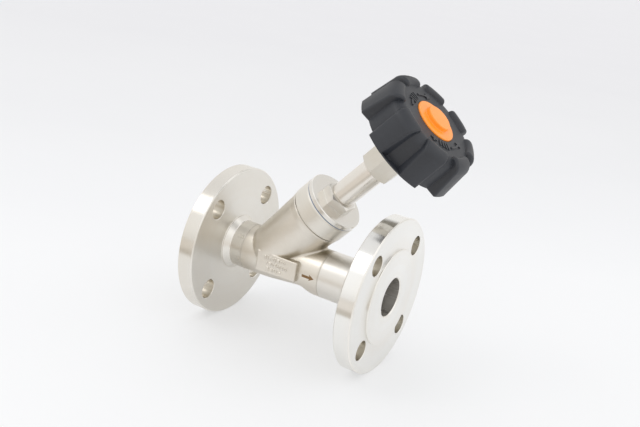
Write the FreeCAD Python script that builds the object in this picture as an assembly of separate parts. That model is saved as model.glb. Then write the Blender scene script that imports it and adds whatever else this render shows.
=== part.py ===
import FreeCAD, Part
import math
import os
import random
from FreeCAD import Placement, Rotation, Vector

# Flanged Y-pattern seat valve with an inclined bonnet and a rising handwheel. Millimetres.
# Origin: centre of the inlet raised face. +X is the flow direction along the pipe axis and
# +Z is up. The bonnet leans towards the outlet (+X) in the XZ plane.
# Pieces are drawn with x = 0 at the middle of the run and moved by half the length on export.
# Pieces on the bonnet axis are drawn about +Z, so their heights are stations along that axis.
# Outlines are (radius, height) points about Z, or (x, radius) points about X.

# --- flanges and pipe run
FACE_TO_FACE = 140.0
FLANGE_OD = 110.0
FLANGE_T = 12.0
RAISED_D = 68.0
RAISED_H = 1.5
BOLT_CIRCLE_D = 85.0
BOLT_HOLE_D = 14.0
BOLT_HOLES = 4
COLLAR_D = 40.0
COLLAR_LENGTH = 4.3       # from the back of the flange plate
PIPE_R = 33.7 / 2
BORE_R = 27.3 / 2
WELD_X = 42.5             # weld line, either side of the run's middle
WELD_W = 1.0
BODY_END_X = 21.2         # weld between the cast body and the outlet spool

# --- bonnet axis and cast branch
TILT = 50.41              # bonnet axis above the pipe axis, degrees
AXIS_X = -27.14           # where the two axes cross
HEEL_R = 19.9
HEEL_AT = 10.0            # centre of the branch's rounded heel
NECK_R = 22.3
NECK_BOTTOM, NECK_TOP = 51.2, 65.0
NECK_THREAD_R = 18.0
CHAMBER_R = 17.0
SEAT_R = 11.5
SEAT_AT = 10.0            # sealing lip

# --- bonnet, tube and spindle housing
GASKET_T = 0.7
BONNET_R = 22.1
BONNET_TOP = 69.0
HEX_AF, HEX_PHASE, HEX_TOP = 21.7, 29.0, 75.5
SOCKET_R = 8.05           # bonnet socket that holds the tube
TUBE_R = 9.1
TUBE_TOP = 107.5
HOUSING_AF, HOUSING_PHASE = 23.0, 34.8
HOUSING_BOTTOM, HOUSING_TOP = 99.5, 143.0
WIPER_AT = 103.5          # middle of the wiper ring
WIPER_R, WIPER_HALF_H = 6.9, 1.0

# --- stem and its packing
STEM_R = 5.0
STEM_BORE_R = STEM_R + 0.05
STEM_TOP = 154.6
SQUARE_BOTTOM, SQUARE_AF = 146.2, 7.0
SCREW_R = 2.5
PACKING_R = 7.4
PACKING_BOTTOM = 78.0
SPRING_BOTTOM, SPRING_TOP = 79.0, 87.0
RING_COUNT, RING_PITCH = 4, 1.6
RINGS_BOTTOM = 88.3
RINGS_TOP = RINGS_BOTTOM + RING_COUNT * RING_PITCH
VEE_R, VEE_H = 6.2, 1.1   # ridge of the chevron form
LIP_R = STEM_R + 0.03     # rubbing edge of rings, follower and wiper
GUIDE_R = STEM_R + 0.06   # bore of the support ring and follower

# --- plug
STUD_R = 4.0
SEAL_R = 14.6
SEAL_BOTTOM, SEAL_TOP = SEAT_AT + 0.02, 13.2
PLUG_WASHER_BOTTOM = 8.3
CLIP_R = 7.3
CLIP_BOTTOM, CLIP_TOP = 24.05, 25.55

# --- handwheel
WHEEL_R = 40.9            # over the lobes, at the lower rim
WHEEL_TAPER = 2.7         # how much the lobes draw in towards the shoulder
RECESS_R = 35.3           # between the lobes, at the lower rim
WHEEL_BOTTOM, WHEEL_TOP = 135.5, 160.4
BELOW_WHEEL = WHEEL_BOTTOM - 1
LOBE_TOP = 162.6          # ridge of the lobes
LOBES = 8
LOBE_STEP = 360.0 / LOBES
LOBE_PHASE = 36.2
LEDGE_AT = -76.3          # angle of the one recess whose foot is closed by a slotted ledge
BUSH_R = 8.0
BUSH_TOP = 155.0
WASHER_TOP = 156.2
CAP_R = 15.4

ORIGIN = Vector(0, 0, 0)
X_AXIS = Vector(1, 0, 0)
Z_AXIS = Vector(0, 0, 1)
DIAGONAL = math.sqrt(0.5)

os.makedirs("parts", exist_ok=True)


# ---------------------------------------------------------------------------
# helpers
# ---------------------------------------------------------------------------
def axial(shape):
    """Move a shape drawn about +Z onto the inclined bonnet axis."""
    moved = shape.copy()
    tilt = Placement(Vector(AXIS_X, 0, 0), Rotation(Vector(0, 1, 0), 90.0 - TILT))
    moved.Placement = tilt.multiply(moved.Placement)
    return moved


def turned(shape, angle):
    """Copy of a shape, rotated about Z."""
    copy = shape.copy()
    copy.rotate(ORIGIN, Z_AXIS, angle)
    return copy


def polygon_face(corners):
    return Part.Face(Part.makePolygon(corners + corners[:1]))


def revolve(points, axis=Z_AXIS):
    """Solid of revolution from a straight-sided outline."""
    return polygon_face([Vector(a, 0, b) for a, b in points]).revolve(ORIGIN, axis, 360)


def revolve_edges(edges, axis=Z_AXIS):
    face = Part.Face(Part.Wire(Part.__sortEdges__(edges)))
    return face.revolve(ORIGIN, axis, 360)


def path(steps):
    """Edges through points; a step (middle, end) is an arc from the last point."""
    edges = []
    last = Vector(steps[0][0], 0, steps[0][1])
    for step in steps[1:]:
        if isinstance(step[0], tuple):
            middle, end = [Vector(a, 0, b) for a, b in step]
            edges.append(Part.Arc(last, middle, end).toShape())
        else:
            end = Vector(step[0], 0, step[1])
            edges.append(Part.makeLine(last, end))
        last = end
    return edges


def ring(inner_r, outer_r, bottom, top):
    """Ring of rectangular section about Z; a disc when inner_r is 0."""
    return revolve([(inner_r, bottom), (outer_r, bottom), (outer_r, top), (inner_r, top)])


def z_cylinder(radius, bottom, top):
    return Part.makeCylinder(radius, top - bottom, Vector(0, 0, bottom))


def x_cylinder(radius, x_start, x_end):
    return Part.makeCylinder(radius, x_end - x_start, Vector(x_start, 0, 0), X_AXIS)


def hex_prism(across_flats, bottom, top, phase):
    corner_r = across_flats / math.sqrt(3)
    angles = [math.radians(phase + 60 * i) for i in range(6)]
    corners = [Vector(corner_r * math.cos(a), corner_r * math.sin(a), bottom) for a in angles]
    return polygon_face(corners).extrude(Vector(0, 0, top - bottom))


def chamfered_hex(across_flats, bottom, top, phase, lower=True, upper=True):
    """Hexagon bar with 30 degree turned chamfers on its corners."""
    outer_r = across_flats / math.sqrt(3) + 0.2
    face_r = across_flats / 2.0 * 0.985
    rise = (outer_r - face_r) * math.tan(math.radians(30.0))
    points = [(0, bottom)]
    points += [(face_r, bottom), (outer_r, bottom + rise)] if lower else [(outer_r, bottom)]
    points += [(outer_r, top - rise), (face_r, top)] if upper else [(outer_r, top)]
    points += [(0, top)]
    return hex_prism(across_flats, bottom, top, phase).common(revolve(points))


def wedge(start, end, radius, bottom, top):
    """Sector prism between two angles, reaching at least to the radius."""
    count = max(2, int(abs(end - start) / 12) + 1)
    corner_r = radius / math.cos(math.radians((end - start) / count / 2))
    corners = [Vector(0, 0, bottom)]
    for i in range(count + 1):
        angle = math.radians(start + (end - start) * i / count)
        corners.append(Vector(corner_r * math.cos(angle), corner_r * math.sin(angle), bottom))
    return polygon_face(corners).extrude(Vector(0, 0, top - bottom))


def square_bar(bottom):
    return Part.makeBox(SQUARE_AF, SQUARE_AF, 20, Vector(-SQUARE_AF / 2, -SQUARE_AF / 2, bottom))


def try_fillet(shape, radius, edges):
    """Filleted shape, or the same shape object where the fillet cannot be built."""
    # Guards against the kernel refusing a radius, so that callers can try another.
    try:
        filleted = shape.makeFillet(radius, edges)
        if filleted.isValid() and filleted.Volume > 0:
            return filleted
    except Exception:
        pass
    return shape


def round_side(shape, y, radius):
    """Round the edges that lie in the plane at y."""
    return try_fillet(shape, radius, [e for e in shape.Edges if abs(e.CenterOfMass.y - y) < 1e-6])


def write(name, shape):
    moved = shape.copy()
    moved.translate(Vector(FACE_TO_FACE / 2.0, 0, 0))
    found = moved.Solids
    result = found[0] if len(found) == 1 else Part.makeCompound(found)
    result.exportStep("parts/%s.step" % name)


# ---------------------------------------------------------------------------
# flanges, welds and spool
# ---------------------------------------------------------------------------
def make_outlet_flange():
    """Plate with raised face, bolt holes, collar and weld neck."""
    plate_r, raised_r, collar_r = FLANGE_OD / 2, RAISED_D / 2, COLLAR_D / 2
    face = FACE_TO_FACE / 2
    front = face - RAISED_H
    back = front - FLANGE_T
    collar_end = back - COLLAR_LENGTH
    neck_end = WELD_X + WELD_W / 2
    neck_r = PIPE_R + 0.05
    rim_chamfer, bore_chamfer, face_chamfer = 0.8, 0.8, 0.4
    root = 0.5                # fillet between the plate and the collar
    bulge = root * (1 - DIAGONAL)
    body = revolve_edges(path([
        (face, BORE_R + bore_chamfer),
        (face, raised_r - face_chamfer),
        (face - face_chamfer, raised_r),
        (front, raised_r),
        (front, plate_r - rim_chamfer),
        (front - rim_chamfer, plate_r),
        (back + rim_chamfer, plate_r),
        (back, plate_r - rim_chamfer),
        (back, collar_r + root),
        ((back - bulge, collar_r + bulge), (back - root, collar_r)),
        (back - 0.9, collar_r),
        (collar_end, neck_r + 0.25),
        (collar_end - 0.5, neck_r),
        (neck_end, PIPE_R),
        (neck_end, BORE_R),
        (face - bore_chamfer, BORE_R),
        (face, BORE_R + bore_chamfer)]), X_AXIS)

    hole_r, flare = BOLT_HOLE_D / 2, 0.35
    for i in range(BOLT_HOLES):
        angle = math.radians(45 + 360 / BOLT_HOLES * i)
        y = BOLT_CIRCLE_D / 2 * math.cos(angle)
        z = BOLT_CIRCLE_D / 2 * math.sin(angle)
        hole = Part.makeCylinder(hole_r, 30, Vector(back - 5, y, z), X_AXIS)
        front_flare = Part.makeCone(hole_r, hole_r + flare, flare,
                                    Vector(front - flare, y, z), X_AXIS)
        back_flare = Part.makeCone(hole_r + flare, hole_r, flare, Vector(back, y, z), X_AXIS)
        body = body.cut(hole).cut(front_flare).cut(back_flare)
    return body


def make_weld(x):
    """Narrow ring of weld with a slightly crowned outside."""
    start, end = x - WELD_W / 2, x + WELD_W / 2
    return revolve_edges(path([
        (start, BORE_R), (end, BORE_R), (end, PIPE_R),
        ((x, PIPE_R + 0.10), (start, PIPE_R)), (start, BORE_R)]), X_AXIS)


def make_outlet_spool():
    spool = x_cylinder(PIPE_R, BODY_END_X + WELD_W / 2, WELD_X - WELD_W / 2)
    return spool.cut(x_cylinder(BORE_R, 0, 60))


# ---------------------------------------------------------------------------
# cast body
# ---------------------------------------------------------------------------
RUN_START = -WELD_X + WELD_W / 2
RUN_END = BODY_END_X - WELD_W / 2

# underside of the run, flatter and waisted: (x, depth below the pipe axis)
BELLY = [(-40.0, 17.6), (-36.0, 17.0), (-33.0, 16.5), (-21.0, 15.58), (-9.0, 14.52),
         (0.6, 13.66), (5.6, 13.41), (9.2, 14.01), (13.7, 15.38), (17.8, 16.5), (20.2, 17.6)]
BELLY_Z = 10.5            # height of the belly's centre of curvature

# side pads; the lower edge rises from the inlet end to the outlet end
PAD_START, PAD_END = -26.8, 5.3
PAD_LOW_START, PAD_LOW_END, PAD_HIGH = -7.3, -6.0, 7.8
PAD_INNER_Y, PAD_Y = 9.0, 19.75

# rows of foundry marks: (z of the row, first x, last x)
MARK_ROWS = [(4.6, -20.5, -3.5), (0.6, -18.5, -1.5), (-3.4, -18.0, -5.0)]
MARK_PROUD = 0.8


def belly_cutter():
    """What to take off below the run to leave the waisted belly."""
    curve = Part.BSplineCurve()
    curve.interpolate([Vector(x, 0, depth + BELLY_Z) for x, depth in BELLY])
    (start, start_depth), (end, end_depth) = BELLY[0], BELLY[-1]
    frame = path([(end, end_depth + BELLY_Z), (end, 0), (start, 0),
                  (start, start_depth + BELLY_Z)])
    keep = revolve_edges([curve.toShape()] + frame, X_AXIS)
    keep.translate(Vector(0, 0, BELLY_Z))
    return Part.makeBox(end - start, 60, 36, Vector(start, -30, -40)).cut(keep)


def run_and_branch():
    """Straight run with the inclined branch and its rounded heel."""
    run = x_cylinder(PIPE_R, RUN_START, RUN_END)
    branch = axial(revolve([
        (0, HEEL_AT), (HEEL_R, HEEL_AT), (20.2, 24.0), (21.3, 46.0), (21.9, 50.0),
        (21.9, NECK_BOTTOM - 0.3), (21.7, NECK_BOTTOM - 0.1), (0, NECK_BOTTOM - 0.1)]))
    lower_half = Part.makeBox(60, 60, 40 + HEEL_AT, Vector(-30, -30, -40))
    heel = axial(Part.makeSphere(HEEL_R, Vector(0, 0, HEEL_AT)).common(lower_half))
    return run.fuse([branch, heel]).removeSplitter()


def make_neck():
    """Machined end of the branch, above a shallow groove."""
    groove_r = NECK_R - 1.3
    return axial(revolve([
        (0, NECK_BOTTOM - 0.5), (groove_r, NECK_BOTTOM - 0.5), (groove_r, NECK_BOTTOM + 0.75),
        (NECK_R - 0.25, NECK_BOTTOM + 0.75), (NECK_R, NECK_BOTTOM + 1.0),
        (NECK_R, NECK_TOP - 0.9), (NECK_R - 0.7, NECK_TOP), (0, NECK_TOP)]))


def make_pad(side):
    """Raised side pad; side is -1 for -Y and +1 for +Y."""
    y = min(side * PAD_Y, side * PAD_INNER_Y)
    corners = [Vector(PAD_START, y, PAD_LOW_START), Vector(PAD_END, y, PAD_LOW_END),
               Vector(PAD_END, y, PAD_HIGH), Vector(PAD_START, y, PAD_HIGH)]
    pad = polygon_face(corners).extrude(Vector(0, PAD_Y - PAD_INNER_Y, 0))
    return round_side(pad, side * PAD_Y, 0.6)


def blended_casting():
    """Branch blended into the run, then the belly, pads and neck."""
    sharp = run_and_branch()
    crease = [e for e in sharp.Edges
              if not isinstance(e.Curve, (Part.Line, Part.Circle)) and e.Length > 5]
    cutter = belly_cutter()
    additions = [make_pad(-1), make_pad(+1), make_neck()]
    casting = sharp
    # radii in order of preference; the first that gives one sound solid is kept
    for radius in (1.4, 1.6, 2.0, 2.4, 3.0, 1.0):
        blended = try_fillet(sharp, radius, crease)
        if blended is sharp:
            continue
        casting = blended.cut(cutter).fuse(additions).removeSplitter()
        one_solid = len(casting.Solids) == 1 and casting.isValid()
        if one_solid and casting.Volume > 0.9 * sharp.Volume:
            break
    return casting


def foundry_marks():
    """Small raised bars and studs in rows on the -Y pad."""
    random.seed(7)
    face_y = -PAD_Y - MARK_PROUD
    marks = []
    for z, x, last_x in MARK_ROWS:
        while x < last_x:
            width = random.choice([0.8, 0.8, 1.5, 2.1])
            height = random.choice([2.6, 2.6, 1.4])
            mark = Part.makeBox(width, 1.2, height, Vector(x, face_y, z - height / 2))
            marks.append(round_side(mark, face_y, 0.3))
            x += width + random.choice([0.8, 1.0, 1.4])
    return marks


def body_cavity():
    """Inlet bore, orifice, valve chamber and outlet passage."""
    ball_r, cone_x = 13.4, -30.0
    outlet_x, outlet_r = -5.0, 9.3
    inlet = x_cylinder(BORE_R, RUN_START - 5, cone_x)
    inlet = inlet.fuse(Part.makeCone(BORE_R, ball_r, AXIS_X - cone_x,
                                     Vector(cone_x, 0, 0), X_AXIS))
    inlet_ball = Part.makeSphere(ball_r, Vector(AXIS_X, 0, 0))
    orifice = axial(z_cylinder(SEAT_R, 0, SEAT_AT + 2))
    outlet = revolve([(outlet_x, 0), (outlet_x, outlet_r), (6.5, 10.6), (21.5, BORE_R),
                      (30.0, BORE_R), (30.0, 0)], X_AXIS)
    outlet_ball = Part.makeSphere(outlet_r, Vector(outlet_x, 0, 0))
    chamber = axial(revolve([
        (SEAT_R - 0.5, SEAT_AT - 1.5), (CHAMBER_R - 0.8, SEAT_AT - 1.5),
        (CHAMBER_R, SEAT_AT - 0.7), (CHAMBER_R, 50.0), (NECK_THREAD_R, 50.0),
        (NECK_THREAD_R, 70.0), (0, 70.0), (0, SEAT_AT + 1.5), (SEAT_R - 0.5, SEAT_AT + 1.5)]))
    return inlet.fuse([inlet_ball, orifice, outlet, outlet_ball, chamber])


def make_valve_body():
    body = blended_casting().fuse(foundry_marks()).cut(body_cavity())
    seat_lip = axial(revolve([
        (SEAT_R, SEAT_AT - 3.0), (SEAT_R, SEAT_AT - 0.3), (SEAT_R + 0.3, SEAT_AT),
        (13.2, SEAT_AT), (13.7, SEAT_AT - 0.5), (14.2, SEAT_AT - 1.5), (14.2, SEAT_AT - 3.0)]))
    return body.fuse(seat_lip).removeSplitter()


def make_flow_arrow(valve_body):
    """Thin arrow on the -Y side of the run, pointing to the outlet."""
    tail, tip, z = 9.1, 18.6, -0.25
    head_x = tip - 3.5
    barb_x = head_x - 0.5     # the barbs sweep back past the end of the shaft
    head_half, shaft_half = 2.25, 0.92
    outline = [(tail, z - shaft_half), (head_x, z - shaft_half), (barb_x, z - head_half),
               (tip, z), (barb_x, z + head_half), (head_x, z + shaft_half),
               (tail, z + shaft_half)]
    prism = polygon_face([Vector(x, -30, h) for x, h in outline]).extrude(Vector(0, 16.2, 0))
    skin = x_cylinder(PIPE_R + 0.10, RUN_START, RUN_END)
    return prism.common(skin).cut(valve_body)


# ---------------------------------------------------------------------------
# bonnet, gasket, tube, spindle housing, wiper
# ---------------------------------------------------------------------------
def make_bonnet():
    bottom, thread_bottom, socket_bottom = 44.0, 52.0, 58.0
    bore_r = STEM_BORE_R + 0.01
    flange_bottom = NECK_TOP + GASKET_T
    turning = revolve([
        (bore_r, bottom), (9.4, bottom), (10.0, bottom + 0.6), (10.0, thread_bottom),
        (NECK_THREAD_R - 0.6, thread_bottom), (NECK_THREAD_R, thread_bottom + 0.6),
        (NECK_THREAD_R, flange_bottom), (BONNET_R, flange_bottom),
        (BONNET_R, BONNET_TOP - 0.5), (BONNET_R - 0.5, BONNET_TOP), (SOCKET_R, BONNET_TOP),
        (SOCKET_R, socket_bottom), (bore_r, socket_bottom)])
    hexagon = chamfered_hex(HEX_AF, BONNET_TOP, HEX_TOP, HEX_PHASE, lower=False)
    return turning.fuse(hexagon.cut(z_cylinder(SOCKET_R, 60, 80))).removeSplitter()


def make_gasket():
    edge_r = NECK_R - 0.45
    return revolve([
        (NECK_THREAD_R, NECK_TOP), (edge_r, NECK_TOP), (NECK_R - 0.3, NECK_TOP + GASKET_T / 2),
        (edge_r, NECK_TOP + GASKET_T), (NECK_THREAD_R, NECK_TOP + GASKET_T)])


def make_tube():
    inner_r, bottom = 5.5, 60.0
    return revolve([
        (inner_r, bottom), (7.6, bottom), (SOCKET_R, bottom + 0.5), (SOCKET_R, HEX_TOP),
        (TUBE_R - 0.3, HEX_TOP), (TUBE_R, HEX_TOP + 0.3), (TUBE_R, TUBE_TOP),
        (PACKING_R, TUBE_TOP), (PACKING_R, PACKING_BOTTOM), (inner_r, PACKING_BOTTOM)])


def make_spindle_housing():
    """Hexagon on top of the tube with a plain spigot inside it."""
    spigot = revolve([
        (STEM_BORE_R, HOUSING_BOTTOM), (PACKING_R - 0.4, HOUSING_BOTTOM),
        (PACKING_R, HOUSING_BOTTOM + 0.4), (PACKING_R, TUBE_TOP), (STEM_BORE_R, TUBE_TOP)])
    hexagon = chamfered_hex(HOUSING_AF, TUBE_TOP, HOUSING_TOP, HOUSING_PHASE)
    hexagon = hexagon.cut(z_cylinder(STEM_BORE_R, 100, 150))
    wiper_recess = ring(STEM_R - 0.5, WIPER_R, WIPER_AT - WIPER_HALF_H, WIPER_AT + WIPER_HALF_H)
    return spigot.fuse(hexagon).removeSplitter().cut(wiper_recess)


def make_wiper():
    """Ring with its four corners cut back."""
    bottom, top = WIPER_AT - WIPER_HALF_H, WIPER_AT + WIPER_HALF_H
    return revolve([
        (LIP_R, bottom + 0.5), (STEM_R + 0.5, bottom), (WIPER_R - 0.5, bottom),
        (WIPER_R, bottom + 0.5), (WIPER_R, top - 0.5), (WIPER_R - 0.5, top),
        (STEM_R + 0.5, top), (LIP_R, top - 0.5)])


# ---------------------------------------------------------------------------
# stem packing
# ---------------------------------------------------------------------------
def make_spring():
    """Coil spring between the washer and the support ring."""
    wire_r, coil_r, turns = 0.55, 6.35, 3.5
    pitch = (SPRING_TOP - SPRING_BOTTOM - 2 * wire_r) / turns
    helix = Part.makeHelix(pitch, pitch * turns, coil_r)
    section = Part.Wire([Part.makeCircle(wire_r, Vector(coil_r, 0, 0), Vector(0, 1, 0))])
    spring = Part.Wire(helix).makePipeShell([section], True, True)
    spring.translate(Vector(0, 0, SPRING_BOTTOM + wire_r))
    return spring


def vee(inner_r, z):
    """Chevron line from the stem side to the tube side."""
    return [(inner_r, z), (VEE_R, z + VEE_H), (PACKING_R, z)]


def make_packing_support():
    return revolve([(GUIDE_R, SPRING_TOP), (PACKING_R, SPRING_TOP)]
                   + vee(GUIDE_R, RINGS_BOTTOM)[::-1])


def make_packing_rings():
    rings = []
    for i in range(RING_COUNT):
        z = RINGS_BOTTOM + RING_PITCH * i
        rings.append(revolve(vee(LIP_R, z) + vee(LIP_R, z + RING_PITCH)[::-1]))
    return Part.makeCompound(rings)


def make_follower():
    return revolve(vee(LIP_R, RINGS_TOP)
                   + [(PACKING_R, HOUSING_BOTTOM), (GUIDE_R, HOUSING_BOTTOM)])


# ---------------------------------------------------------------------------
# stem
# ---------------------------------------------------------------------------
THREAD_ROOT_R = 3.7
THREAD_PITCH = 3.0
THREAD_BOTTOM, THREAD_TOP = 113.5, 139.0
GROOVE_BOTTOM, GROOVE_TOP = 113.0, 140.6


def make_thread():
    """Trapezoidal ridge wound about the thread root."""
    helix = Part.makeHelix(THREAD_PITCH, THREAD_TOP - THREAD_BOTTOM, THREAD_ROOT_R)
    root_half, crest_half = THREAD_PITCH * 0.62 / 2, THREAD_PITCH * 0.34 / 2
    foot_r = THREAD_ROOT_R - 0.25     # sunk into the core so that the two fuse
    corners = [Vector(foot_r, 0, -root_half), Vector(STEM_R, 0, -crest_half),
               Vector(STEM_R, 0, crest_half), Vector(foot_r, 0, root_half)]
    section = Part.makePolygon(corners + corners[:1])
    thread = Part.Wire(helix).makePipeShell([section], True, True)
    thread.translate(Vector(0, 0, THREAD_BOTTOM))
    return thread


def make_stem():
    foot = 16.05
    upper_r = STEM_R - 0.35
    stem = revolve([
        (0, foot), (5.4, foot), (6.0, foot + 0.6), (6.0, 24.0), (4.6, 24.0), (4.6, 30.4),
        (STEM_R, 30.8), (STEM_R, 111.6), (upper_r, 112.0), (upper_r, GROOVE_BOTTOM),
        (upper_r, GROOVE_TOP), (upper_r, SQUARE_BOTTOM), (upper_r, STEM_TOP - 0.5),
        (4.2, STEM_TOP), (0, STEM_TOP)])
    around_square = ring(0, 12, SQUARE_BOTTOM, 170).cut(square_bar(SQUARE_BOTTOM))
    stem = stem.cut(around_square)
    stem = stem.cut(z_cylinder(SCREW_R, 142.0, 160.0))
    # Guards the swept thread: if it cannot be built or fused, the stem stays plain.
    try:
        grooved = stem.cut(ring(THREAD_ROOT_R, 6, GROOVE_BOTTOM, GROOVE_TOP))
        threaded = grooved.fuse(make_thread()).removeSplitter()
        one_solid = threaded.isValid() and len(threaded.Solids) == 1
        if one_solid and threaded.Volume > grooved.Volume + 100:
            return threaded
    except Exception:
        pass
    return stem


# ---------------------------------------------------------------------------
# plug assembly
# ---------------------------------------------------------------------------
def make_plug():
    """Disc with a stud below and a socket for the stem above, grooved for the clip."""
    socket_r = 6.05
    return revolve([
        (0, 2.6), (3.4, 2.6), (STUD_R, 3.2), (STUD_R, SEAL_TOP), (SEAL_R, SEAL_TOP),
        (SEAL_R, 11.2), (15.3, 11.2), (15.8, 11.7), (15.8, 17.4), (15.2, 18.0), (10.6, 18.0),
        (9.5, 19.1), (9.5, 28.5), (9.0, 29.0), (6.6, 29.0), (socket_r, 28.45),
        (socket_r, CLIP_TOP), (CLIP_R, CLIP_TOP), (CLIP_R, CLIP_BOTTOM),
        (socket_r, CLIP_BOTTOM), (socket_r, 16.0), (0, 16.0)])


def make_seat_seal():
    return revolve([(STUD_R, SEAL_BOTTOM), (SEAL_R - 0.2, SEAL_BOTTOM),
                    (SEAL_R, SEAL_BOTTOM + 0.2), (SEAL_R, SEAL_TOP), (STUD_R, SEAL_TOP)])


def make_plug_washer():
    return revolve([(STUD_R, PLUG_WASHER_BOTTOM), (9.7, PLUG_WASHER_BOTTOM),
                    (10.0, PLUG_WASHER_BOTTOM + 0.3), (10.0, SEAL_BOTTOM),
                    (STUD_R, SEAL_BOTTOM)])


def make_plug_nut():
    nut = chamfered_hex(13.0, 3.9, PLUG_WASHER_BOTTOM, 12.0, upper=False)
    return nut.cut(z_cylinder(STUD_R, 0, 12))


def make_stem_clip():
    gap = Part.makeBox(10, 2.4, 4, Vector(0, -1.2, CLIP_BOTTOM - 1))
    return ring(4.65, CLIP_R, CLIP_BOTTOM, CLIP_TOP).cut(gap)


# ---------------------------------------------------------------------------
# handwheel
# ---------------------------------------------------------------------------
def wheel_wall(inner_r, rim_r, upper_r, shoulder, top):
    """Path from the underside round the rim, up the drafted wall and over the shoulder."""
    rim = 0.6                 # rounding of the lower rim
    centre_r, centre_z = upper_r - shoulder, top - shoulder
    return [(inner_r, WHEEL_BOTTOM), (rim_r - rim, WHEEL_BOTTOM),
            ((rim_r - rim + rim * DIAGONAL, WHEEL_BOTTOM + rim - rim * DIAGONAL),
             (rim_r, WHEEL_BOTTOM + rim)),
            (upper_r, centre_z),
            ((centre_r + shoulder * DIAGONAL, centre_z + shoulder * DIAGONAL),
             (centre_r, top))]


def wheel_base():
    wall = wheel_wall(0.0, RECESS_R, RECESS_R - 0.9, 6.8, WHEEL_TOP)
    return revolve_edges(path(wall + [(0.0, WHEEL_TOP), (0.0, WHEEL_BOTTOM)]))


def lobe_plan():
    """Plan form of one lobe on +X: widening slightly, then drawing in towards the rim."""
    z, height = BELOW_WHEEL, 170 - BELOW_WHEEL
    edges = []
    for side in (1, -1):
        inner, wide, middle, narrow, outer = [
            Vector(x, y * side, z) for x, y in
            [(22.0, 8.2), (32.553, 8.917), (33.781, 8.872), (34.977, 8.579), (46.0, 4.64)]]
        edges.append(Part.makeLine(inner, wide))
        edges.append(Part.Arc(wide, middle, narrow).toShape())
        edges.append(Part.makeLine(narrow, outer))
    edges.append(Part.makeLine(Vector(22.0, 8.2, z), Vector(22.0, -8.2, z)))
    edges.append(Part.makeLine(Vector(46.0, 4.64, z), Vector(46.0, -4.64, z)))
    return Part.Face(Part.Wire(Part.__sortEdges__(edges))).extrude(Vector(0, 0, height))


def lobe_form():
    """Turned form of the lobes: wall, shoulder and a ridge falling below the flat top."""
    inner_r, shoulder, ridge = 24, 7.4, 3.4
    upper_r = WHEEL_R - WHEEL_TAPER
    ridge_r, ridge_z = upper_r - shoulder, LOBE_TOP - ridge
    end_angle = math.asin((WHEEL_TOP - 0.4 - ridge_z) / ridge)
    middle_angle = (end_angle + math.pi / 2) / 2
    middle, end = [(ridge_r - ridge * math.cos(a), ridge_z + ridge * math.sin(a))
                   for a in (middle_angle, end_angle)]
    wall = wheel_wall(inner_r, WHEEL_R, upper_r, shoulder, LOBE_TOP)
    return revolve_edges(path(
        wall + [(middle, end), (inner_r, end[1]), (inner_r, WHEEL_BOTTOM)]))


def is_lobe_corner(edge):
    """Flank edges of the lobe, without the long upright ones near the hub side."""
    centre = edge.CenterOfMass
    height = edge.BoundBox.ZLength
    nearest = min(math.hypot(v.X, v.Y) for v in edge.Vertexes)
    on_flank = abs(centre.y) > 3.5 and nearest > 27.0 and height > 0.3
    in_reach = abs(math.hypot(centre.x, centre.y) - 34.5) < 9 and centre.z > WHEEL_BOTTOM + 0.7
    upright = isinstance(edge.Curve, Part.Line) and centre.x < 36.0 and height > 15
    return on_flank and in_reach and not upright


def make_lobe():
    sharp = lobe_form().common(lobe_plan())
    corners = [e for e in sharp.Edges if is_lobe_corner(e)]
    for radius in (2.0, 1.7, 1.4, 1.0, 0.6):
        rounded = try_fillet(sharp, radius, corners)
        if rounded is not sharp:
            return rounded
    return sharp


def make_ledge():
    """Ledge at the foot of one recess, with a thin slot beside the lobe."""
    base = WHEEL_BOTTOM
    ledge = revolve([(33.9, base), (40.3, base), (40.6, base + 0.3), (40.6, base + 0.6),
                     (40.3, base + 0.9), (33.9, base + 0.9)])
    ledge = ledge.common(wedge(LEDGE_AT - 15.5, LEDGE_AT + 15.5, 60, base - 1, base + 3))
    slot = ring(36.0, 39.3, base + 0.2, base + 3).common(
        wedge(LEDGE_AT - 12.2, LEDGE_AT - 1.6, 60, base - 2, base + 4))
    return ledge.cut(slot)


def wheel_ribs():
    """Radial ribs between hub and skirt, midway between the lobes."""
    rib = Part.makeBox(23.0, 1.8, 9.0, Vector(11.5, -0.9, 148.5))
    region = revolve([(0, 145), (33.0, 145), (32.2, 153.4), (29.0, 156.0), (0, 157.0)])
    return [turned(rib, LOBE_PHASE + LOBE_STEP * (i + 0.5)).common(region)
            for i in range(LOBES)]


MARK_BOTTOM, MARK_TOP = WHEEL_TOP - 0.4, WHEEL_TOP + 0.7
ARROW_R = 20.8


def arc_mark(start, end):
    """Curved shaft of an arrow."""
    shaft = ring(ARROW_R - 0.75, ARROW_R + 0.75, MARK_BOTTOM, MARK_TOP)
    return shaft.common(wedge(start, end, 60, MARK_BOTTOM - 1, MARK_TOP + 1))


def head_mark(angle, direction):
    """Arrowhead; direction is +1 for anticlockwise and -1 for clockwise, seen from above."""
    corners = [Vector(-0.2, -2.5, MARK_BOTTOM), Vector(4.2, 0, MARK_BOTTOM),
               Vector(-0.2, 2.5, MARK_BOTTOM)]
    head = polygon_face(corners).extrude(Vector(0, 0, MARK_TOP - MARK_BOTTOM))
    head = turned(head, 90 * direction)
    head.translate(Vector(ARROW_R, 0, 0))
    return turned(head, angle)


def bar_mark(angle, radius, radial, across):
    bar = Part.makeBox(radial, across, MARK_TOP - MARK_BOTTOM,
                       Vector(radius - radial / 2, -across / 2, MARK_BOTTOM))
    return turned(bar, angle)


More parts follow.
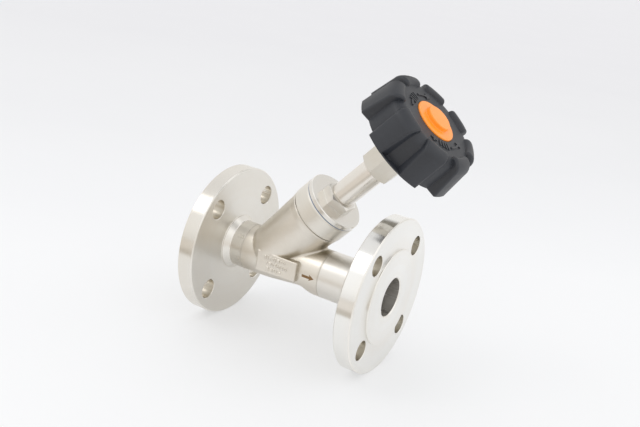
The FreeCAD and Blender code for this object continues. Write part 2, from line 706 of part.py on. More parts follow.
def direction_marks():
    """Clockwise arrow with a minus for closing, anticlockwise with a plus for opening."""
    marks = [arc_mark(150, 176), head_mark(150, -1)]
    marks += [bar_mark(angle, 20.4, 5.4, 1.1) for angle in (188, 195, 202, 209)]
    marks += [bar_mark(220, 21.0, 1.4, 5.0)]
    marks += [arc_mark(346, 376), head_mark(376, +1)]
    marks += [bar_mark(angle, 20.6, 5.0, 1.1) for angle in (315, 322, 329, 336)]
    marks += [bar_mark(300, 21.2, 5.0, 1.4), bar_mark(300, 21.2, 1.4, 5.0)]
    return marks


def make_handwheel():
    lobe = make_lobe()
    pocket = revolve([(31.5, BELOW_WHEEL), (38.5, BELOW_WHEEL), (36.2, 151.0), (31.5, 151.0)])
    pocket = pocket.common(wedge(-8.3, 8.3, 60, BELOW_WHEEL, 153.0))
    angles = [LOBE_PHASE + i * LOBE_STEP for i in range(LOBES)]
    hub_space_r, roof = 15.0, 156.8
    hollow = revolve([
        (hub_space_r, BELOW_WHEEL), (33.4, BELOW_WHEEL), (32.6, 150.0), (31.4, 153.6),
        (28.6, 155.6), (24.0, roof), (hub_space_r, roof)])
    hub = revolve([(0, 145.6), (10.8, 145.6), (11.8, 146.6), (12.4, 157.5), (0, 157.5)])

    wheel = wheel_base().cut(hollow)
    wheel = wheel.fuse([turned(lobe, angle) for angle in angles])
    wheel = wheel.cut(Part.makeCompound([turned(pocket, angle) for angle in angles]))
    # clear what the lobes left inside the hollow
    wheel = wheel.cut(ring(hub_space_r, 30.0, BELOW_WHEEL, 153.0))
    wheel = wheel.fuse(make_ledge())
    wheel = wheel.cut(z_cylinder(hub_space_r, BELOW_WHEEL, roof)).fuse(hub)
    wheel = wheel.fuse(wheel_ribs())
    # stepped bore for the drive bush, washer, screw and cap
    wheel = wheel.cut(revolve([
        (0, 140), (BUSH_R, 140), (BUSH_R, BUSH_TOP), (8.6, BUSH_TOP), (8.6, 159.0),
        (CAP_R + 0.2, 159.0), (CAP_R + 0.2, 170), (0, 170)]))
    return wheel.fuse(direction_marks())


def make_drive_bush():
    bush = revolve([(0, 146.4), (BUSH_R - 0.6, 146.4), (BUSH_R, 147.0), (BUSH_R, BUSH_TOP),
                    (0, BUSH_TOP)])
    return bush.cut(square_bar(140))


def make_wheel_screw():
    screw = revolve([
        (0, 142.6), (2.0, 142.6), (SCREW_R, 143.1), (SCREW_R, WASHER_TOP), (4.6, WASHER_TOP),
        (4.6, 157.9), (4.1, 158.4), (0, 158.4)])
    return screw.cut(hex_prism(3.0, 156.9, 160.0, 10))


def make_wheel_cap():
    """Disc with a round boss on top and a short skirt below."""
    return revolve_edges(path([
        (0, 159.6), (6.9, 159.6), (6.9, 156.6), (8.4, 156.6), (8.4, 159.05),
        (CAP_R, 159.05), (CAP_R, 160.75),
        ((CAP_R - 0.2, 161.15), (CAP_R - 0.65, 161.35)),
        ((12.4, 161.48), (9.75, 161.5)),
        (9.4, 161.8), (9.3, 163.9),
        ((9.13, 164.3), (8.7, 164.5)),
        (0, 164.6), (0, 159.6)]))


# ---------------------------------------------------------------------------
# write every piece
# ---------------------------------------------------------------------------
valve_body = make_valve_body()
outlet_flange = make_outlet_flange()
RUN_PIECES = {
    "valve_body": valve_body,
    "inlet_flange": outlet_flange.mirror(ORIGIN, X_AXIS),
    "outlet_flange": outlet_flange,
    "outlet_spool": make_outlet_spool(),
    "weld_inlet": make_weld(-WELD_X),
    "weld_body_outlet": make_weld(BODY_END_X),
    "weld_outlet": make_weld(WELD_X),
    "flow_arrow": make_flow_arrow(valve_body),
}
BONNET_AXIS_PIECES = {
    "bonnet": make_bonnet(),
    "bonnet_gasket": make_gasket(),
    "bonnet_tube": make_tube(),
    "spindle_housing": make_spindle_housing(),
    "stem_wiper": make_wiper(),
    "packing_washer": ring(5.3, PACKING_R, PACKING_BOTTOM, SPRING_BOTTOM),
    "packing_spring": make_spring(),
    "packing_support": make_packing_support(),
    "packing_rings": make_packing_rings(),
    "packing_follower": make_follower(),
    "stem": make_stem(),
    "plug": make_plug(),
    "seat_seal": make_seat_seal(),
    "plug_washer": make_plug_washer(),
    "plug_nut": make_plug_nut(),
    "stem_clip": make_stem_clip(),
    "handwheel": make_handwheel(),
    "drive_bush": make_drive_bush(),
    "wheel_washer": ring(SCREW_R, 7.5, BUSH_TOP, WASHER_TOP),
    "wheel_screw": make_wheel_screw(),
    "wheel_cap": make_wheel_cap(),
}
for name, shape in RUN_PIECES.items():
    write(name, shape)
for name, shape in BONNET_AXIS_PIECES.items():
    write(name, axial(shape))
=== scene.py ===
"""A flanged valve with a leaning bonnet and handwheel, on a pale sheet in a bright studio.

The pipe axis is X. The bonnet axis lies in the XZ plane, rising toward +X, and crosses the
pipe axis a little on the +X side of the origin. Units are metres, +Z is up.
"""
import math
import bpy
from mathutils import Matrix, Vector

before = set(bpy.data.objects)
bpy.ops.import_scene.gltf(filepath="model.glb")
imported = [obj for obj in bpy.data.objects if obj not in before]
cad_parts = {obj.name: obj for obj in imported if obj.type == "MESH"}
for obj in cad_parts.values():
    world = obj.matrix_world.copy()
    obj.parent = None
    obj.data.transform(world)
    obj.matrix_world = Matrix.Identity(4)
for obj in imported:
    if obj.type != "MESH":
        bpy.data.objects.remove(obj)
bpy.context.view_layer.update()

MM = 0.001
BONNET_TILT = math.radians(50.41)       # bonnet axis above the pipe axis

# turning axes: a point and a direction
PIPE = (Vector((0.0, 0.0, 0.0)), Vector((1.0, 0.0, 0.0)))
BONNET = (Vector((0.04286, 0.0, 0.0)),
          Vector((math.cos(BONNET_TILT), 0.0, math.sin(BONNET_TILT))))

# radii between which one finish gives way to the next on a flange
BORE_WALL = (0.0143, 0.0145)
HOLES_INNER = (0.0343, 0.0345)
HOLES_OUTER = (0.0469, 0.0471)

# distances along the bonnet axis
FLATS_START = 0.06906                   # wrench flats of the bonnet
NECK = (0.0513, 0.0513 + 0.0003)        # the cast body turns into a machined neck
RECESS = (0.0465, 0.0495)               # the recess shading builds up to full here
RECESS_HALF_WIDTH = (0.0180, 0.0190)    # and fades out here, either way along Y

FLOOR_Z = -0.0551
FLOOR_SEGMENTS = 96
FLOOR_RINGS = (0.3, 0.8, 2.0, 45.0)     # radii

FALLING = (1.0, 0.0)                    # remap target that runs downward


# ---------------------------------------------------------------------------
# node graph helper
# ---------------------------------------------------------------------------
class Graph:
    """The emptied node tree of a material or world, with short ways to add nodes."""

    def __init__(self, owner):
        owner.use_nodes = True
        self.tree = owner.node_tree
        self.tree.nodes.clear()

    def put(self, socket, value):
        """Link a socket, or set a value; a colour may leave out its alpha."""
        if isinstance(value, bpy.types.NodeSocket):
            self.tree.links.new(value, socket)
        elif socket.type == "RGBA" and len(value) == 3:
            socket.default_value = (*value, 1.0)
        else:
            socket.default_value = value

    def fill(self, node, inputs):
        for key, value in inputs.items():
            self.put(node.inputs[key], value)

    def node(self, kind, inputs=None, **settings):
        node = self.tree.nodes.new(kind)
        for key, value in settings.items():
            setattr(node, key, value)
        self.fill(node, inputs or {})
        return node

    def math(self, operation, a, b=0.0):
        return self.node("ShaderNodeMath", {0: a, 1: b, 2: 0.0}, operation=operation).outputs[0]

    def add(self, a, b):
        return self.math("ADD", a, b)

    def sub(self, a, b):
        return self.math("SUBTRACT", a, b)

    def mul(self, a, b):
        return self.math("MULTIPLY", a, b)

    def blend(self, weight, start, end):
        """A number that goes from start to end as the weight goes from 0 to 1."""
        return self.add(self.mul(weight, self.sub(end, start)), start)

    def vector(self, operation, a, b=None, scale=None):
        inputs = {0: a}
        if b is not None:
            inputs[1] = b
        if scale is not None:
            inputs["Scale"] = scale
        outputs = self.node("ShaderNodeVectorMath", inputs, operation=operation).outputs
        return outputs["Value" if operation in ("DOT_PRODUCT", "LENGTH") else "Vector"]

    def dot(self, a, b):
        return self.vector("DOT_PRODUCT", a, b)

    def noise(self, source, scale, detail=4.0, rough=0.55, distortion=0.0, dims="3D"):
        inputs = {"W" if dims == "1D" else "Vector": source, "Scale": scale,
                  "Detail": detail, "Roughness": rough, "Distortion": distortion}
        return self.node("ShaderNodeTexNoise", inputs, noise_dimensions=dims).outputs["Fac"]

    def rings(self, distance, scale, detail=2.0, rough=0.5):
        """Noise that varies with one distance only."""
        return self.noise(distance, scale, detail, rough, dims="1D")

    def ramp(self, factor, stops):
        node = self.node("ShaderNodeValToRGB", {"Fac": factor})
        elements = node.color_ramp.elements
        while len(elements) > 1:
            elements.remove(elements[-1])
        elements[0].position = stops[0][0]
        elements[0].color = (*stops[0][1], 1.0)
        for position, color in stops[1:]:
            elements.new(position).color = (*color, 1.0)
        return node.outputs["Color"]

    def remap(self, value, span, target=(0.0, 1.0), interpolation="LINEAR"):
        inputs = {"Value": value, "From Min": span[0], "From Max": span[1],
                  "To Min": target[0], "To Max": target[1]}
        node = self.node("ShaderNodeMapRange", inputs, interpolation_type=interpolation)
        return node.outputs["Result"]

    def mix(self, factor, first, second, mode="MIX"):
        node = self.node("ShaderNodeMix", {"Factor": factor}, data_type="RGBA", blend_type=mode)
        sockets = [socket for socket in node.inputs if socket.type == "RGBA"]
        self.put(sockets[0], first)
        self.put(sockets[1], second)
        return next(socket for socket in node.outputs if socket.type == "RGBA")

    def multiply(self, first, second):
        return self.mix(1.0, first, second, "MULTIPLY")

    def wash(self, base, color, by, span, amount):
        """Tint the base, up to the amount, as the driving value crosses the span."""
        return self.mix(self.remap(by, span, (0.0, amount)), base, color)

    def grey(self, value):
        return self.node("ShaderNodeCombineXYZ", {0: value, 1: value, 2: value}).outputs[0]

    def component(self, vector, axis):
        return self.node("ShaderNodeSeparateXYZ", {0: vector}).outputs[axis]

    def bump(self, height, distance_mm, strength, normal=None):
        inputs = {"Strength": strength, "Distance": distance_mm * MM, "Height": height}
        if normal is not None:
            inputs["Normal"] = normal
        return self.node("ShaderNodeBump", inputs).outputs["Normal"]

    def transform(self, vector, kind, source, target):
        node = self.node("ShaderNodeVectorTransform", {"Vector": vector}, vector_type=kind,
                         convert_from=source, convert_to=target)
        return node.outputs["Vector"]

    def position(self):
        return self.node("ShaderNodeTexCoord").outputs["Object"]

    def normal(self):
        return self.node("ShaderNodeNewGeometry").outputs["Normal"]

    def occlusion(self, distance):
        node = self.node("ShaderNodeAmbientOcclusion", {"Distance": distance}, samples=8)
        return node.outputs["AO"]

    def edges(self, radius):
        """A mask, 1 on sharp edges and 0 on flats, and the rounded normal it comes from."""
        rounded = self.node("ShaderNodeBevel", {"Radius": radius}, samples=6).outputs["Normal"]
        return self.remap(self.dot(rounded, self.normal()), (0.999, 0.90)), rounded

    def mix_shader(self, factor, first, second):
        node = self.node("ShaderNodeMixShader", {0: factor, 1: first, 2: second})
        return node.outputs[0]


def new_material(name):
    material = bpy.data.materials.new(name)
    g = Graph(material)
    bsdf = g.node("ShaderNodeBsdfPrincipled")
    g.node("ShaderNodeOutputMaterial", {"Surface": bsdf.outputs["BSDF"]})
    return material, g, bsdf


def scaled(color, factor):
    """A colour times one number, or times one number per channel."""
    factors = factor if isinstance(factor, tuple) else (factor,) * 3
    return tuple(c * f for c, f in zip(color, factors))


def add_object(name, data):
    obj = bpy.data.objects.new(name, data)
    bpy.context.scene.collection.objects.link(obj)
    return obj


# ---------------------------------------------------------------------------
# metals
# ---------------------------------------------------------------------------
def drill(g, base, rough, radius, radial, face, hole_shade, hole_rough):
    """Painted shade and duller roughness on the flange hole walls, and painted highlight
    streaks on the centre bore wall.
    """
    wall = g.sub(1.0, face)
    band = g.mul(g.remap(radius, HOLES_INNER), g.remap(radius, HOLES_OUTER, FALLING))
    hole = g.mul(band, wall)
    bore = g.mul(g.remap(radius, BORE_WALL, FALLING), wall)
    streak = g.noise(g.vector("NORMALIZE", radial), 2.4, detail=3.0, rough=0.62)
    streak_span = (0.53, 0.60)
    rough = g.blend(hole, rough, hole_rough)
    rough = g.blend(bore, rough, g.remap(streak, streak_span, (0.46, 0.20)))
    # painted shade on the hole walls
    base = g.mix(hole, base, g.multiply(base, hole_shade))
    # painted highlight and shade: pale streaks on a darker bore wall
    bore_painted_streaks = g.wash((0.56, 0.54, 0.505), (1.0, 0.99, 0.975), streak, streak_span, 1.0)
    return g.mix(bore, base, bore_painted_streaks), rough


def turned(name, axis, color, rough, face_rough, anisotropy, lay=2600.0, groove_mm=0.0025,
           edge=0.0002, lines=0.07, tint=0.25, grime=0.16, haze=0.05, wave=1.0,
           flats_from=None, holes=None):
    """Metal turned about an axis, its reflections drawn out across the tool marks.

    rough, face_rough: roughness of the sides and of the end faces
    lay, groove_mm: how closely the tool marks are set, and their depth
    edge: width of the rounded edges and of the painted highlight along them
    lines, tint, grime: how strongly fine rings, broad rings and clouds colour the metal
    haze, wave: how strongly smears and rings change the roughness
    flats_from: distance along the axis where milled flats begin
    holes: painted shade and roughness of drilled holes, as arguments for drill
    """
    material, g, bsdf = new_material(name)
    origin, direction = axis
    point = g.vector("SUBTRACT", g.position(), origin)
    along = g.dot(point, direction)
    radial = g.vector("SUBTRACT", point, g.vector("SCALE", direction, scale=along))
    radius = g.vector("LENGTH", radial)
    tangent = g.vector("NORMALIZE", g.vector("CROSS_PRODUCT", direction, radial))

    path = g.add(along, radius)
    fine = g.rings(path, lay, detail=3.0, rough=0.6)
    middle = g.rings(path, lay * 0.16)
    broad = g.rings(path, lay * 0.03)
    cloud = g.noise(point, 42.0, detail=5.0, rough=0.6)
    smear = g.noise(point, 150.0, rough=0.65, distortion=0.5)
    edge_mask, rounded = g.edges(edge)

    # end faces look along the axis; cones look partly along it
    normal = g.transform(g.normal(), "NORMAL", "WORLD", "OBJECT")
    facing = g.math("ABSOLUTE", g.dot(normal, direction))
    face = g.remap(facing, (0.35, 0.60))
    cone_highlight = g.mul(g.remap(facing, (0.30, 0.45)), g.remap(facing, (0.90, 0.97), FALLING))

    base = g.wash(color, scaled(color, (0.95, 0.90, 0.84)), broad, (0.3, 0.7), tint)
    base = g.wash(base, scaled(color, 0.72), fine, (0.25, 0.75), lines)
    base = g.wash(base, scaled(color, (0.90, 0.86, 0.80)), cloud, (0.50, 0.75), grime)
    # painted highlight: a pale line along sharp edges
    base = g.mix(g.mul(edge_mask, 0.5), base, (0.96, 0.955, 0.94))
    # painted reflection: conical faces such as collars get a pale band
    base = g.mix(g.mul(cone_highlight, 0.7), base, (0.93, 0.91, 0.865))

    roughness = g.add(g.mul(face, face_rough - rough), rough)
    roughness = g.add(roughness, g.mul(edge_mask, 0.16))
    if flats_from is not None:
        flat = g.remap(along, (flats_from, flats_from + 0.00005))
        roughness = g.blend(flat, roughness, 0.34)
    if holes:
        base, roughness = drill(g, base, roughness, radius, radial, face, **holes)
    swing = (1.0 - 0.08 * wave, 1.0 + 0.10 * wave)
    roughness = g.mul(roughness, g.remap(middle, (0.2, 0.8), swing))
    roughness = g.add(roughness, g.remap(smear, (0.45, 0.8), (0.0, haze)))

    grooves = g.add(g.mul(fine, 1.0), g.mul(middle, 1.4))
    g.fill(bsdf, {
        "Base Color": base,
        "Metallic": 1.0,
        "Roughness": roughness,
        "Anisotropic": anisotropy,
        "Anisotropic Rotation": 0.25,
        "Tangent": g.transform(tangent, "VECTOR", "OBJECT", "WORLD"),
        "Normal": g.bump(grooves, groove_mm, strength=0.5, normal=rounded),
    })
    return material


def cast(name, color, rough):
    """Grainy, pitted casting with a clean machined neck and painted shade in its recesses."""
    material, g, bsdf = new_material(name)
    point = g.position()
    grain = g.noise(point, 3600.0, detail=3.0, rough=0.6)
    grit = g.noise(point, 1300.0, rough=0.6)
    lump = g.noise(point, 150.0, detail=3.0, rough=0.5)
    cloud = g.noise(point, 38.0, detail=5.0, rough=0.6)
    cells = g.node("ShaderNodeTexVoronoi", {"Vector": point, "Scale": 620.0}, feature="F1")
    pit = g.remap(cells.outputs["Distance"], (0.0, 0.16), FALLING)
    pit = g.mul(pit, g.remap(g.noise(point, 210.0, detail=2.0), (0.56, 0.66)))
    edge_mask, rounded = g.edges(0.0007)

    base = g.wash(color, scaled(color, (0.93, 0.88, 0.80)), cloud, (0.35, 0.7), 0.35)
    base = g.wash(base, scaled(color, 0.80), grit, (0.3, 0.75), 0.22)
    base = g.mix(g.mul(pit, 0.4), base, scaled(color, 0.5))
    # painted highlight: a pale line along sharp edges
    base = g.mix(g.mul(edge_mask, 0.45), base, (0.93, 0.91, 0.88))

    origin, direction = BONNET
    along = g.dot(g.vector("SUBTRACT", point, origin), direction)
    neck = g.remap(along, NECK)
    ring = g.rings(along, 900.0)
    clean = g.wash((0.80, 0.775, 0.72), (0.76, 0.73, 0.67), ring, (0.3, 0.7), 0.3)
    base = g.mix(neck, base, clean)

    across = g.math("ABSOLUTE", g.component(point, "Y"))
    # painted shade: the base darkens where ambient occlusion is strong, near the middle of the
    # body in Y, fading up the bonnet axis
    painted_recess_shade = g.mul(g.remap(g.occlusion(0.014), (0.35, 0.80), FALLING),
                   g.remap(across, RECESS_HALF_WIDTH, FALLING))
    painted_recess_shade = g.mul(painted_recess_shade, g.remap(along, RECESS, (1.0, 0.25)))
    base = g.mix(painted_recess_shade, base, g.multiply(base, (0.56, 0.53, 0.46)))

    height = g.add(g.mul(grain, 0.5), g.mul(grit, 1.0))
    height = g.add(height, g.mul(lump, 2.2))
    height = g.sub(height, g.mul(pit, 0.8))
    height = g.mul(height, g.sub(1.0, g.mul(neck, 0.94)))
    roughness = g.remap(grit, (0.25, 0.8), (rough * 0.88, rough * 1.18))
    g.fill(bsdf, {
        "Base Color": base,
        "Metallic": 1.0,
        "Roughness": g.blend(neck, roughness, 0.33),
        "Normal": g.bump(height, 0.040, strength=0.75, normal=rounded),
    })
    return material


def plain_metal(name, color, rough, drawn_along=None):
    """Bar stock and small hardware; the streaks may be drawn out along a direction."""
    material, g, bsdf = new_material(name)
    point = g.position()
    stretched = point
    if drawn_along is not None:
        along = g.mul(g.dot(point, drawn_along), 0.96)
        stretched = g.vector("SUBTRACT", point, g.vector("SCALE", drawn_along, scale=along))
    streak = g.noise(stretched, 2400.0, rough=0.6)
    soft = g.noise(point, 160.0, rough=0.6)
    edge_mask, rounded = g.edges(0.0003)
    base = g.wash(color, scaled(color, (0.92, 0.87, 0.80)), soft, (0.35, 0.7), 0.30)
    base = g.wash(base, scaled(color, 0.8), streak, (0.3, 0.7), 0.18)
    # painted highlight: a pale line along sharp edges
    base = g.mix(g.mul(edge_mask, 0.6), base, (0.95, 0.94, 0.92))
    g.fill(bsdf, {
        "Base Color": base,
        "Metallic": 1.0,
        "Roughness": g.remap(streak, (0.2, 0.8), (rough * 0.85, rough * 1.25)),
        "Normal": g.bump(streak, 0.012, strength=0.5, normal=rounded),
    })
    return material


# ---------------------------------------------------------------------------
# plastics and elastomers
# ---------------------------------------------------------------------------
def plastic(name, color, rough, grain_scale, grain_mm, edge=0.0004, dust_and_edge_light_color=None,
            dust=0.12, specular=0.5, coat=0.0, corner_shade_reach=0.0, glow=0.0):
    """Moulded surface: fine grain, blotches, pale flow marks (dust) and painted light along the
    edges.

    corner_shade_reach: how far the painted shade in corners and slots spreads
    glow: emission strength, painted light that brightens the part though it is no lamp
    """
    material, g, bsdf = new_material(name)
    point = g.position()
    grain = g.noise(point, grain_scale, detail=3.0, rough=0.65)
    blotch = g.noise(point, 70.0, detail=5.0, rough=0.6)
    flow = g.noise(g.vector("MULTIPLY", point, (1.0, 1.0, 3.0)), 190.0, rough=0.6,
                   distortion=0.8)
    edge_mask, rounded = g.edges(edge)
    # colour of the pale flow marks (dust) and of the painted light along sharp edges
    dust_and_edge_light = dust_and_edge_light_color or tuple(min(1.0, c * 1.6 + 0.02) for c in color)
    base = g.wash(color, scaled(color, 0.82), blotch, (0.35, 0.7), 0.35)
    base = g.wash(base, dust_and_edge_light, flow, (0.55, 0.8), dust)
    # painted light along sharp edges: paler on most parts, a deeper orange on the cap
    base = g.mix(g.mul(edge_mask, 0.5), base, dust_and_edge_light)
    g.fill(bsdf, {
        "Base Color": base,
        "Roughness": g.add(g.remap(blotch, (0.3, 0.7), (rough * 0.9, rough * 1.12)),
                           g.remap(grain, (0.3, 0.8), (0.0, 0.06))),
        "Specular IOR Level": specular,
        "Normal": g.bump(grain, grain_mm, strength=0.6, normal=rounded),
    })
    # painted shade: ambient occlusion darkens the colour and the specular in corners and slots
    if corner_shade_reach:
        openness = g.remap(g.occlusion(corner_shade_reach), (0.15, 0.75), (0.35, 1.0))
        g.fill(bsdf, {"Base Color": g.multiply(base, g.grey(openness)),
                      "Specular IOR Level": g.mul(openness, specular)})
    # painted light: the part emits its own colour
    if glow:
        g.fill(bsdf, {"Emission Color": base, "Emission Strength": glow})
    if coat:
        g.fill(bsdf, {"Coat Weight": coat, "Coat Roughness": 0.30})
    return material


# ---------------------------------------------------------------------------
# the materials, and the part each one covers
# ---------------------------------------------------------------------------
cast_stainless = cast("cast_stainless", (0.80, 0.765, 0.705), rough=0.33)
# lit and shaded copies of one turned stainless: the inlet flange is painted darker and warmer
# as painted shade, the outlet flange paler as painted light
flange_in_shaded = turned(
    "turned_stainless_in_shaded", PIPE, (0.79, 0.77, 0.725), rough=0.20, face_rough=0.34,
    anisotropy=0.6, holes={"hole_shade": (0.85, 0.82, 0.76), "hole_rough": 0.32})
flange_out_lit = turned(
    "turned_stainless_out_lit", PIPE, (0.89, 0.89, 0.875), rough=0.14, face_rough=0.33,
    anisotropy=0.6, holes={"hole_shade": (0.66, 0.62, 0.54), "hole_rough": 0.42})
pipe = turned(
    "pipe_stainless", PIPE, (0.83, 0.81, 0.77), rough=0.37, face_rough=0.37, anisotropy=0.5,
    lay=900.0, groove_mm=0.0002, lines=0.03, tint=0.12, grime=0.10, haze=0.012, wave=0.3)
weld = turned(
    "weld_stainless", PIPE, (0.66, 0.63, 0.57), rough=0.34, face_rough=0.34, anisotropy=0.2,
    lay=900.0, groove_mm=0.003, edge=0.0001)
polish = turned(
    "polished_stainless", BONNET, (0.80, 0.785, 0.75), rough=0.17, face_rough=0.19,
    anisotropy=0.35, lay=3000.0, groove_mm=0.0006, edge=0.0003, lines=0.04, grime=0.08,
    haze=0.02, flats_from=FLATS_START)
tube = turned(
    "polished_tube", BONNET, (0.84, 0.815, 0.775), rough=0.20, face_rough=0.2,
    anisotropy=0.5, lay=3000.0, groove_mm=0.0006, lines=0.05, grime=0.06, haze=0.015, wave=0.5)
stem_steel = turned(
    "stem_steel", BONNET, (0.62, 0.605, 0.575), rough=0.38, face_rough=0.38, anisotropy=0.2,
    lay=900.0, groove_mm=0.0, edge=0.00004, lines=0.03, tint=0.12, grime=0.10, haze=0.01,
    wave=0.3)
hexagon = plain_metal("hex_stainless", (0.72, 0.695, 0.64), rough=0.32, drawn_along=BONNET[1])
spring = plain_metal("spring_steel", (0.62, 0.62, 0.62), rough=0.28)
brass = plain_metal("brass", (0.80, 0.60, 0.28), rough=0.28, drawn_along=BONNET[1])
zinc = plain_metal("zinc_steel", (0.66, 0.67, 0.69), rough=0.30)
ptfe = plastic("ptfe", (0.88, 0.88, 0.85), rough=0.42, grain_scale=2600.0, grain_mm=0.006,
               dust=0.05)
gasket = plastic("gasket_grey", (0.13, 0.19, 0.31), rough=0.5, grain_scale=3000.0,
                 grain_mm=0.01, edge=0.0001)
rubber = plastic("rubber_black", (0.02, 0.02, 0.02), rough=0.55, grain_scale=3000.0,
                 grain_mm=0.012)
arrow = plastic("arrow_tint", (0.22, 0.12, 0.04), rough=0.5, grain_scale=3600.0,
                grain_mm=0.02, edge=0.0001, dust=0.4)
wheel = plastic("wheel_plastic", (0.0245, 0.0275, 0.0350), rough=0.42, grain_scale=2600.0,
                grain_mm=0.016, edge=0.0005, dust_and_edge_light_color=(0.065, 0.07, 0.078), dust=0.14,
                specular=0.55, corner_shade_reach=0.0016)
orange = plastic("cap_orange", (1.0, 0.30, 0.012), rough=0.40, grain_scale=3000.0,
                 grain_mm=0.006, dust_and_edge_light_color=(1.0, 0.22, 0.005), dust=0.06, specular=0.6,
                 coat=0.5, glow=0.20)

PART_MATERIALS = {
    "valve_body": cast_stainless, "inlet_flange": flange_in_shaded, "outlet_flange": flange_out_lit,
    "outlet_spool": pipe, "weld_inlet": weld, "weld_body_outlet": weld, "weld_outlet": weld,
    "flow_arrow": arrow, "bonnet": polish, "bonnet_gasket": gasket, "bonnet_tube": tube,
    "spindle_housing": hexagon, "stem_wiper": rubber, "packing_washer": tube,
    "packing_spring": spring, "packing_support": brass, "packing_rings": ptfe,
    "packing_follower": brass, "stem": stem_steel, "plug": polish, "seat_seal": ptfe,
    "plug_washer": polish, "plug_nut": hexagon, "stem_clip": spring, "handwheel": wheel,
    "drive_bush": brass, "wheel_washer": zinc, "wheel_screw": zinc, "wheel_cap": orange,
}
for name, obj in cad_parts.items():
    slots = obj.data.materials
    if not slots:
        slots.append(PART_MATERIALS[name])
    for index in range(len(slots)):
        slots[index] = PART_MATERIALS[name]


# ---------------------------------------------------------------------------
# floor
# ---------------------------------------------------------------------------
def floor_mesh():
    """A flat disc: a fan in the middle, then rings of quads."""
    count = FLOOR_SEGMENTS
    vertices = [(0.0, 0.0, FLOOR_Z)]
    for radius in FLOOR_RINGS:
        for i in range(count):
            angle = 2 * math.pi * i / count
            vertices.append((radius * math.cos(angle), radius * math.sin(angle), FLOOR_Z))
    faces = [(0, 1 + i, 1 + (i + 1) % count) for i in range(count)]
    for ring in range(len(FLOOR_RINGS) - 1):
        inner = 1 + ring * count
        outer = inner + count
        for i in range(count):
            j = (i + 1) % count
            faces.append((inner + i, outer + i, outer + j, inner + j))
    mesh = bpy.data.meshes.new("floor")
    mesh.from_pydata(vertices, [], faces)
    return mesh


def floor_paper():
    """Pale sheet with painted light falloff, darker away from the camera and to the left;
    reflections see a different floor.
    """
    material, g, bsdf = new_material("floor_paper")
    point = g.position()
    away = g.dot(point, (-0.4535, 0.8912, 0.0))     # along the view
    side = g.dot(point, (0.8912, 0.4535, 0.0))      # to the right of the view
    # painted light falloff: the sheet darkens away from the camera and to the left
    painted_falloff = g.add(away, g.mul(side, -0.35))
    sheet = g.ramp(g.remap(painted_falloff, (-0.3, 2.5)), [
        (0.0, (0.962, 0.965, 0.965)), (0.14, (0.945, 0.948, 0.952)),
        (0.20, (0.912, 0.915, 0.922)), (0.30, (0.875, 0.877, 0.885)),
        (0.43, (0.862, 0.862, 0.870)), (0.64, (0.842, 0.840, 0.852)),
        (1.0, (0.842, 0.838, 0.852))])
    sheet = g.wash(sheet, g.multiply(sheet, (0.975, 0.975, 0.98)), g.noise(point, 5.0),
                   (0.35, 0.7), 0.35)

    # in reflections the sheet ends toward -Y and the bench begins
    toward = g.remap(g.dot(point, (0.0, -1.0, 0.0)), (0.0, 1.0))
    bench = g.ramp(toward, [
        (0.0, (0.96, 0.955, 0.945)), (0.170, (0.96, 0.95, 0.93)), (0.190, (0.56, 0.51, 0.44)),
        (0.245, (0.58, 0.53, 0.46)), (0.30, (0.80, 0.745, 0.675)), (0.6, (0.79, 0.735, 0.665)),
        (1.0, (0.76, 0.71, 0.645))])
    # painted shadow on the floor under the valve, seen only in reflections
    flat = g.vector("MULTIPLY", point, (1.0, 1.0, 0.0))
    from_shadow_centre = g.vector("LENGTH", g.vector("SUBTRACT", flat, (0.062, 0.030, 0.0)))
    bench = g.mix(g.remap(from_shadow_centre, (0.045, 0.11), (0.28, 0.0)), bench, (0.30, 0.29, 0.27))
    glossy = g.node("ShaderNodeLightPath").outputs["Is Glossy Ray"]
    seen = g.mix(glossy, sheet, bench)
    g.fill(bsdf, {
        "Base Color": g.multiply(seen, (0.55, 0.55, 0.55)),
        "Emission Color": seen,                     # keeps the shadows pale
        "Emission Strength": 0.43,
        "Roughness": 0.75,
        "Specular IOR Level": 0.2,
        "Normal": g.bump(g.noise(point, 900.0, detail=3.0), 0.05, strength=0.3),
    })
    return material


floor = add_object("floor", floor_mesh())
floor.data.materials.append(floor_paper())


# ---------------------------------------------------------------------------
# world: even white for diffuse light, a room with soft patches for reflections
# ---------------------------------------------------------------------------
def lobe(g, toward, azimuth, elevation, outer, inner, amount):
    """A soft round patch of the room, full within inner degrees and gone at outer."""
    azimuth, elevation = math.radians(azimuth), math.radians(elevation)
    centre = Vector((math.cos(elevation) * math.cos(azimuth),
                     math.cos(elevation) * math.sin(azimuth), math.sin(elevation)))
    span = (math.cos(math.radians(outer)), math.cos(math.radians(inner)))
    return g.remap(g.dot(toward, centre), span, (0.0, amount), "SMOOTHSTEP")


def background(g, color, strength):
    return g.node("ShaderNodeBackground", {"Color": color, "Strength": strength}).outputs[0]


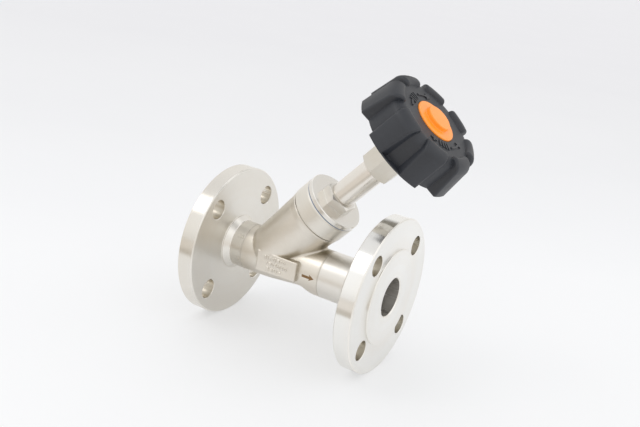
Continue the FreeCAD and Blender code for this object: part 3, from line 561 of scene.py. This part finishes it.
def build_world():
    world = bpy.data.worlds.new("studio")
    bpy.context.scene.world = world
    g = Graph(world)
    toward = g.vector("NORMALIZE", g.node("ShaderNodeTexCoord").outputs["Generated"])
    room = g.ramp(g.remap(g.component(toward, "Z"), (-1.0, 1.0)), [
        (0.0, (0.80, 0.80, 0.80)), (0.50, (0.84, 0.82, 0.79)), (0.62, (0.86, 0.845, 0.82)),
        (0.80, (0.90, 0.89, 0.875)), (0.89, (0.86, 0.85, 0.84)), (0.96, (0.81, 0.80, 0.79)),
        (1.0, (0.80, 0.795, 0.785))])
    light = g.add(
        lobe(g, toward, azimuth=-122, elevation=46, outer=13, inner=4, amount=0.42),
        lobe(g, toward, azimuth=-114, elevation=22, outer=20, inner=8, amount=0.10))
    light = g.add(
        light, lobe(g, toward, azimuth=20, elevation=40, outer=30, inner=14, amount=0.20))
    dark = lobe(g, toward, azimuth=76, elevation=26, outer=22, inner=8, amount=0.12)
    dark = g.math("MINIMUM", dark, 0.9)
    room = g.multiply(room, g.mix(dark, (1, 1, 1), (0.12, 0.11, 0.10)))
    room = g.vector("ADD", room, g.grey(light))

    ray = g.node("ShaderNodeLightPath").outputs
    lit = g.mix_shader(ray["Is Glossy Ray"],
                       background(g, (0.955, 0.96, 0.975), strength=1.02),
                       background(g, room, strength=1.08))
    surround = g.mix_shader(ray["Is Camera Ray"], lit,
                            background(g, (0.84, 0.835, 0.855), strength=1.0))
    g.node("ShaderNodeOutputWorld", {"Surface": surround})


build_world()

# ---------------------------------------------------------------------------
# lamps
# ---------------------------------------------------------------------------
# name, place, aim, diameter, power in watts, colour
LAMPS = (
    ("key", (-0.65, -0.75, 1.15), (0.06, 0.0, 0.03), 0.7, 1.6, (1.0, 0.985, 0.96)),
    ("fill", (1.1, -0.5, 0.9), (0.08, 0.0, 0.03), 0.9, 0.5, (0.97, 0.985, 1.0)),
)
for name, place, aim, diameter, power, color in LAMPS:
    data = bpy.data.lights.new(name, "AREA")
    data.shape = "DISK"
    data.size = diameter
    data.energy = power
    data.color = color
    lamp = add_object(name, data)
    lamp.location = place
    lamp.rotation_mode = "QUATERNION"
    lamp.rotation_quaternion = (Vector(aim) - Vector(place)).to_track_quat("-Z", "Y")

# ---------------------------------------------------------------------------
# dark card above and beyond the outlet flange, seen only in reflections, where it
# gives the flange rim a dark band
# ---------------------------------------------------------------------------
CARD_CENTRE = Vector((0.057, 0.138, 0.218))
CARD_AIM = Vector((0.130, -0.008, 0.047))
CARD_HALF_WIDTH, CARD_HALF_HEIGHT = 0.055, 0.072


def card_material(across, upward):
    """Dark oval glow that fades to clear toward its rim."""
    material = bpy.data.materials.new("card")
    g = Graph(material)
    point = g.vector("SUBTRACT", g.position(), CARD_CENTRE)
    u = g.math("DIVIDE", g.dot(point, across), CARD_HALF_WIDTH)
    v = g.math("DIVIDE", g.dot(point, upward), CARD_HALF_HEIGHT)
    radius = g.math("SQRT", g.add(g.mul(u, u), g.mul(v, v)))
    color = g.ramp(g.noise(point, 20.0, detail=2.0),
                   [(0.0, (0.17, 0.155, 0.13)), (1.0, (0.26, 0.24, 0.20))])
    surface = g.mix_shader(g.remap(radius, (0.50, 1.0), FALLING),
                           g.node("ShaderNodeBsdfTransparent").outputs[0],
                           g.node("ShaderNodeEmission", {"Color": color}).outputs[0])
    g.node("ShaderNodeOutputMaterial", {"Surface": surface})
    return material


def build_card():
    facing = (CARD_AIM - CARD_CENTRE).normalized()
    across = Vector((1.0, 0.0, 0.0))
    across = (across - facing * across.dot(facing)).normalized()
    upward = facing.cross(across)
    corners = [tuple(CARD_CENTRE + across * i * CARD_HALF_WIDTH + upward * j * CARD_HALF_HEIGHT)
               for i, j in ((-1, -1), (1, -1), (1, 1), (-1, 1))]
    mesh = bpy.data.meshes.new("card")
    mesh.from_pydata(corners, [], [(0, 1, 2, 3)])
    card = add_object("card", mesh)
    mesh.materials.append(card_material(across, upward))
    card.visible_camera = False
    card.visible_diffuse = False
    card.visible_shadow = False
    card.visible_transmission = False


build_card()

# ---------------------------------------------------------------------------
# camera
# ---------------------------------------------------------------------------
CAMERA_PLACE = Vector((0.3422, -0.5228, 0.2276))
view = Vector((-0.4321, 0.8492, -0.3037)).normalized()
right = Vector((0.8542, 0.4934, 0.1642)).normalized()
right = (right - view * right.dot(view)).normalized()
rotation = Matrix((right, right.cross(view), -view)).transposed()

lens = bpy.data.cameras.new("camera")
lens.sensor_width = 36.0
lens.lens = 50.2228125
lens.clip_start, lens.clip_end = 0.01, 60.0
camera = add_object("camera", lens)
camera.matrix_world = Matrix.Translation(CAMERA_PLACE) @ rotation.to_4x4()
bpy.context.scene.camera = camera

view_settings = bpy.context.scene.view_settings
view_settings.view_transform = "Standard"
view_settings.look = "None"
view_settings.exposure = 0.0
view_settings.gamma = 1.0
